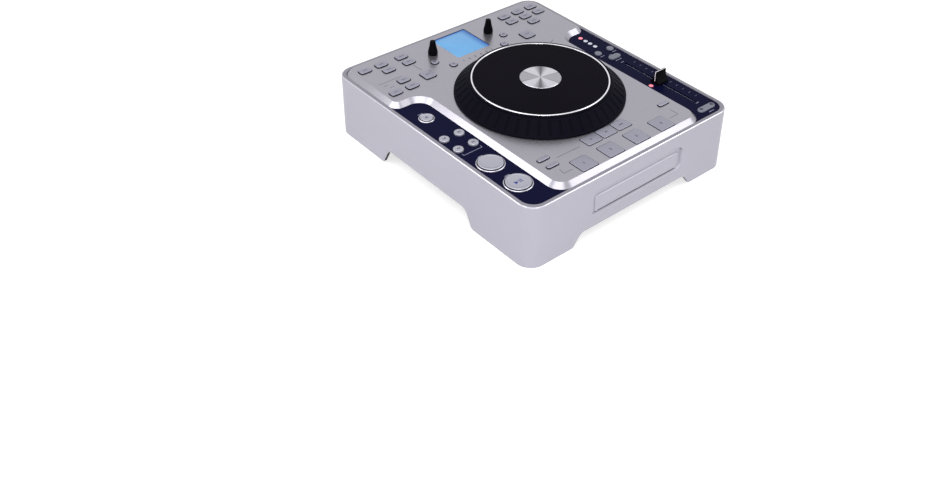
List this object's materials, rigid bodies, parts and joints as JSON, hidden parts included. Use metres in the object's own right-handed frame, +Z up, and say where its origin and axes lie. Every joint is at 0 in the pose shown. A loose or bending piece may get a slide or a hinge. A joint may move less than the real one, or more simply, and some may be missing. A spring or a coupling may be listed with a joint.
{
  "type": "tabletop disc player",
  "caption": "Single-deck tabletop DJ disc player: front disc tray, raised panel of sprung keys, display between knobs, free-spinning jog wheel and tempo fader.",
  "frame": {"origin": "centre of the body's outline on the resting surface", "axes": "+X to the right along the front, +Y to the rear, +Z up"},
  "size_m": [0.33, 0.371, 0.1105],
  "materials": {
    "silver_shell": "satin silver paint on moulded plastic",
    "silver_panel": "satin silver-grey paint",
    "silver_keys": "satin silver moulded keys",
    "black_plate": "black powder coat",
    "dark_inlay": "gloss dark blue",
    "lit_window": "clear lit window",
    "loader_plastic": "moulded black",
    "board": "green solder mask",
    "steel": "turned",
    "socket_plastic": "moulded black with nickelled sleeves",
    "rubber_foot": "soft black",
    "black_wheel": "satin black",
    "black_plate_top": "fine-grained black",
    "spun_aluminium": "spun and polished",
    "tray_plastic": "black tray with a silver painted door",
    "black_cap": "satin black"
  },
  "bodies": {
    "body_shell": {"housing": "silver_shell", "base_plate": "black_plate", "control_panel": "silver_panel", "side_inlays": "dark_inlay", "display_and_lenses": "lit_window", "disc_loader": "loader_plastic", "circuit_boards": "board", "jog_bearing": "steel", "rear_sockets": "socket_plastic", "rubber_feet": "rubber_foot"},
    "jog": {"jog_wheel": "black_wheel", "jog_top_plate": "black_plate_top", "jog_trim": "spun_aluminium"},
    "tray": {"disc_tray": "tray_plastic"},
    "fader": {"fader_cap": "black_cap"},
    "left_knob_body": {"left_knob": "black_cap"},
    "right_knob_body": {"right_knob": "black_cap"},
    "power_paddle": {"power_switch": "socket_plastic"},
    "bend_key": {"bend_rocker": "silver_keys"},
    "left_key_1_body": {"left_key_1": "silver_keys"},
    "left_key_2_body": {"left_key_2": "silver_keys"},
    "left_key_3_body": {"left_key_3": "silver_keys"},
    "left_key_4_body": {"left_key_4": "silver_keys"},
    "left_key_5_body": {"left_key_5": "silver_keys"},
    "left_key_6_body": {"left_key_6": "silver_keys"},
    "left_key_7_body": {"left_key_7": "silver_keys"},
    "left_key_8_body": {"left_key_8": "silver_keys"},
    "left_big_key_body": {"left_big_key": "silver_keys"},
    "right_key_1_body": {"right_key_1": "silver_keys"},
    "right_key_2_body": {"right_key_2": "silver_keys"},
    "right_key_3_body": {"right_key_3": "silver_keys"},
    "right_key_4_body": {"right_key_4": "silver_keys"},
    "right_key_5_body": {"right_key_5": "silver_keys"},
    "right_key_6_body": {"right_key_6": "silver_keys"},
    "right_key_7_body": {"right_key_7": "silver_keys"},
    "right_big_key_body": {"right_big_key": "silver_keys"},
    "loop_in_key_body": {"loop_in_key": "silver_keys"},
    "loop_out_key_body": {"loop_out_key": "silver_keys"},
    "reloop_key_body": {"reloop_key": "silver_keys"},
    "bank_key_1_body": {"bank_key_1": "silver_keys"},
    "bank_key_2_body": {"bank_key_2": "silver_keys"},
    "bank_key_3_body": {"bank_key_3": "silver_keys"},
    "pad_1_body": {"pad_1": "silver_keys"},
    "pad_2_body": {"pad_2": "silver_keys"},
    "pad_3_body": {"pad_3": "silver_keys"},
    "pad_4_body": {"pad_4": "silver_keys"},
    "display_key_1_body": {"display_key_1": "silver_keys"},
    "display_key_2_body": {"display_key_2": "silver_keys"},
    "display_key_3_body": {"display_key_3": "silver_keys"},
    "display_key_4_body": {"display_key_4": "silver_keys"},
    "eject_key_body": {"eject_key": "silver_keys"},
    "search_back_key_body": {"search_back_key": "silver_keys"},
    "search_forward_key_body": {"search_forward_key": "silver_keys"},
    "track_back_key_body": {"track_back_key": "silver_keys"},
    "track_forward_key_body": {"track_forward_key": "silver_keys"},
    "cue_key_body": {"cue_key": "silver_keys"},
    "play_key_body": {"play_key": "silver_keys"},
    "range_key_body": {"range_key": "silver_keys"},
    "tempo_key_body": {"tempo_key": "silver_keys"},
    "hold_key_body": {"hold_key": "silver_keys"}
  },
  "joints": [
    {"name": "jog_spin", "type": "hinge", "parent": "body_shell", "child": "jog", "pos_m": [0, -0.017, 0.095], "axis": [0, 0, 1], "continuous": true},
    {"name": "tray_slide", "type": "slide", "parent": "body_shell", "child": "tray", "axis": [0, -1, 0], "range_m": [0, 0.138]},
    {"name": "fader_slide", "type": "slide", "parent": "body_shell", "child": "fader", "axis": [0, 1, 0], "range_m": [-0.05, 0.05]},
    {"name": "left_knob_turn", "type": "hinge", "parent": "body_shell", "child": "left_knob_body", "pos_m": [-0.0465, 0.1375, 0.09], "axis": [0, 0, 1], "range_deg": [-150, 150]},
    {"name": "right_knob_turn", "type": "hinge", "parent": "body_shell", "child": "right_knob_body", "pos_m": [0.0465, 0.1375, 0.09], "axis": [0, 0, 1], "range_deg": [-150, 150]},
    {"name": "power_rock", "type": "hinge", "parent": "body_shell", "child": "power_paddle", "pos_m": [-0.058, 0.17314, 0.048], "axis": [1, 0, 0], "range_deg": [0, 14]},
    {"name": "bend_rock", "type": "hinge", "parent": "body_shell", "child": "bend_key", "pos_m": [0.1398, -0.1656, 0.0772], "axis": [0, 1, 0], "range_deg": [-3, 3], "stiffness_Nm_per_rad": 0.5},
    {"name": "left_key_1_press", "type": "slide", "parent": "body_shell", "child": "left_key_1_body", "axis": [0, 0, -1], "range_m": [0, 0.001], "stiffness_N_per_m": 400},
    {"name": "left_key_2_press", "type": "slide", "parent": "body_shell", "child": "left_key_2_body", "axis": [0, 0, -1], "range_m": [0, 0.001], "stiffness_N_per_m": 400},
    {"name": "left_key_3_press", "type": "slide", "parent": "body_shell", "child": "left_key_3_body", "axis": [0, 0, -1], "range_m": [0, 0.001], "stiffness_N_per_m": 400},
    {"name": "left_key_4_press", "type": "slide", "parent": "body_shell", "child": "left_key_4_body", "axis": [0, 0, -1], "range_m": [0, 0.001], "stiffness_N_per_m": 400},
    {"name": "left_key_5_press", "type": "slide", "parent": "body_shell", "child": "left_key_5_body", "axis": [0, 0, -1], "range_m": [0, 0.001], "stiffness_N_per_m": 400},
    {"name": "left_key_6_press", "type": "slide", "parent": "body_shell", "child": "left_key_6_body", "axis": [0, 0, -1], "range_m": [0, 0.001], "stiffness_N_per_m": 400},
    {"name": "left_key_7_press", "type": "slide", "parent": "body_shell", "child": "left_key_7_body", "axis": [0, 0, -1], "range_m": [0, 0.001], "stiffness_N_per_m": 400},
    {"name": "left_key_8_press", "type": "slide", "parent": "body_shell", "child": "left_key_8_body", "axis": [0, 0, -1], "range_m": [0, 0.001], "stiffness_N_per_m": 400},
    {"name": "left_big_key_press", "type": "slide", "parent": "body_shell", "child": "left_big_key_body", "axis": [0, 0, -1], "range_m": [0, 0.001], "stiffness_N_per_m": 400},
    {"name": "right_key_1_press", "type": "slide", "parent": "body_shell", "child": "right_key_1_body", "axis": [0, 0, -1], "range_m": [0, 0.001], "stiffness_N_per_m": 400},
    {"name": "right_key_2_press", "type": "slide", "parent": "body_shell", "child": "right_key_2_body", "axis": [0, 0, -1], "range_m": [0, 0.001], "stiffness_N_per_m": 400},
    {"name": "right_key_3_press", "type": "slide", "parent": "body_shell", "child": "right_key_3_body", "axis": [0, 0, -1], "range_m": [0, 0.001], "stiffness_N_per_m": 400},
    {"name": "right_key_4_press", "type": "slide", "parent": "body_shell", "child": "right_key_4_body", "axis": [0, 0, -1], "range_m": [0, 0.001], "stiffness_N_per_m": 400},
    {"name": "right_key_5_press", "type": "slide", "parent": "body_shell", "child": "right_key_5_body", "axis": [0, 0, -1], "range_m": [0, 0.001], "stiffness_N_per_m": 400},
    {"name": "right_key_6_press", "type": "slide", "parent": "body_shell", "child": "right_key_6_body", "axis": [0, 0, -1], "range_m": [0, 0.001], "stiffness_N_per_m": 400},
    {"name": "right_key_7_press", "type": "slide", "parent": "body_shell", "child": "right_key_7_body", "axis": [0, 0, -1], "range_m": [0, 0.001], "stiffness_N_per_m": 400},
    {"name": "right_big_key_press", "type": "slide", "parent": "body_shell", "child": "right_big_key_body", "axis": [0, 0, -1], "range_m": [0, 0.001], "stiffness_N_per_m": 400},
    {"name": "loop_in_key_press", "type": "slide", "parent": "body_shell", "child": "loop_in_key_body", "axis": [0, 0, -1], "range_m": [0, 0.001], "stiffness_N_per_m": 400},
    {"name": "loop_out_key_press", "type": "slide", "parent": "body_shell", "child": "loop_out_key_body", "axis": [0, 0, -1], "range_m": [0, 0.001], "stiffness_N_per_m": 400},
    {"name": "reloop_key_press", "type": "slide", "parent": "body_shell", "child": "reloop_key_body", "axis": [0, 0, -1], "range_m": [0, 0.001], "stiffness_N_per_m": 400},
    {"name": "bank_key_1_press", "type": "slide", "parent": "body_shell", "child": "bank_key_1_body", "axis": [0, 0, -1], "range_m": [0, 0.001], "stiffness_N_per_m": 400},
    {"name": "bank_key_2_press", "type": "slide", "parent": "body_shell", "child": "bank_key_2_body", "axis": [0, 0, -1], "range_m": [0, 0.001], "stiffness_N_per_m": 400},
    {"name": "bank_key_3_press", "type": "slide", "parent": "body_shell", "child": "bank_key_3_body", "axis": [0, 0, -1], "range_m": [0, 0.001], "stiffness_N_per_m": 400},
    {"name": "pad_1_press", "type": "slide", "parent": "body_shell", "child": "pad_1_body", "axis": [0, 0, -1], "range_m": [0, 0.001], "stiffness_N_per_m": 400},
    {"name": "pad_2_press", "type": "slide", "parent": "body_shell", "child": "pad_2_body", "axis": [0, 0, -1], "range_m": [0, 0.001], "stiffness_N_per_m": 400},
    {"name": "pad_3_press", "type": "slide", "parent": "body_shell", "child": "pad_3_body", "axis": [0, 0, -1], "range_m": [0, 0.001], "stiffness_N_per_m": 400},
    {"name": "pad_4_press", "type": "slide", "parent": "body_shell", "child": "pad_4_body", "axis": [0, 0, -1], "range_m": [0, 0.001], "stiffness_N_per_m": 400},
    {"name": "display_key_1_press", "type": "slide", "parent": "body_shell", "child": "display_key_1_body", "axis": [0, 0, -1], "range_m": [0, 0.001], "stiffness_N_per_m": 400},
    {"name": "display_key_2_press", "type": "slide", "parent": "body_shell", "child": "display_key_2_body", "axis": [0, 0, -1], "range_m": [0, 0.001], "stiffness_N_per_m": 400},
    {"name": "display_key_3_press", "type": "slide", "parent": "body_shell", "child": "display_key_3_body", "axis": [0, 0, -1], "range_m": [0, 0.001], "stiffness_N_per_m": 400},
    {"name": "display_key_4_press", "type": "slide", "parent": "body_shell", "child": "display_key_4_body", "axis": [0, 0, -1], "range_m": [0, 0.001], "stiffness_N_per_m": 400},
    {"name": "eject_key_press", "type": "slide", "parent": "body_shell", "child": "eject_key_body", "axis": [0, 0, -1], "range_m": [0, 0.001], "stiffness_N_per_m": 400},
    {"name": "search_back_key_press", "type": "slide", "parent": "body_shell", "child": "search_back_key_body", "axis": [0, 0, -1], "range_m": [0, 0.001], "stiffness_N_per_m": 400},
    {"name": "search_forward_key_press", "type": "slide", "parent": "body_shell", "child": "search_forward_key_body", "axis": [0, 0, -1], "range_m": [0, 0.001], "stiffness_N_per_m": 400},
    {"name": "track_back_key_press", "type": "slide", "parent": "body_shell", "child": "track_back_key_body", "axis": [0, 0, -1], "range_m": [0, 0.001], "stiffness_N_per_m": 400},
    {"name": "track_forward_key_press", "type": "slide", "parent": "body_shell", "child": "track_forward_key_body", "axis": [0, 0, -1], "range_m": [0, 0.001], "stiffness_N_per_m": 400},
    {"name": "cue_key_press", "type": "slide", "parent": "body_shell", "child": "cue_key_body", "axis": [0, 0, -1], "range_m": [0, 0.001], "stiffness_N_per_m": 400},
    {"name": "play_key_press", "type": "slide", "parent": "body_shell", "child": "play_key_body", "axis": [0, 0, -1], "range_m": [0, 0.001], "stiffness_N_per_m": 400},
    {"name": "range_key_press", "type": "slide", "parent": "body_shell", "child": "range_key_body", "axis": [0, 0, -1], "range_m": [0, 0.001], "stiffness_N_per_m": 400},
    {"name": "tempo_key_press", "type": "slide", "parent": "body_shell", "child": "tempo_key_body", "axis": [0, 0, -1], "range_m": [0, 0.001], "stiffness_N_per_m": 400},
    {"name": "hold_key_press", "type": "slide", "parent": "body_shell", "child": "hold_key_body", "axis": [0, 0, -1], "range_m": [0, 0.001], "stiffness_N_per_m": 400}
  ]
}
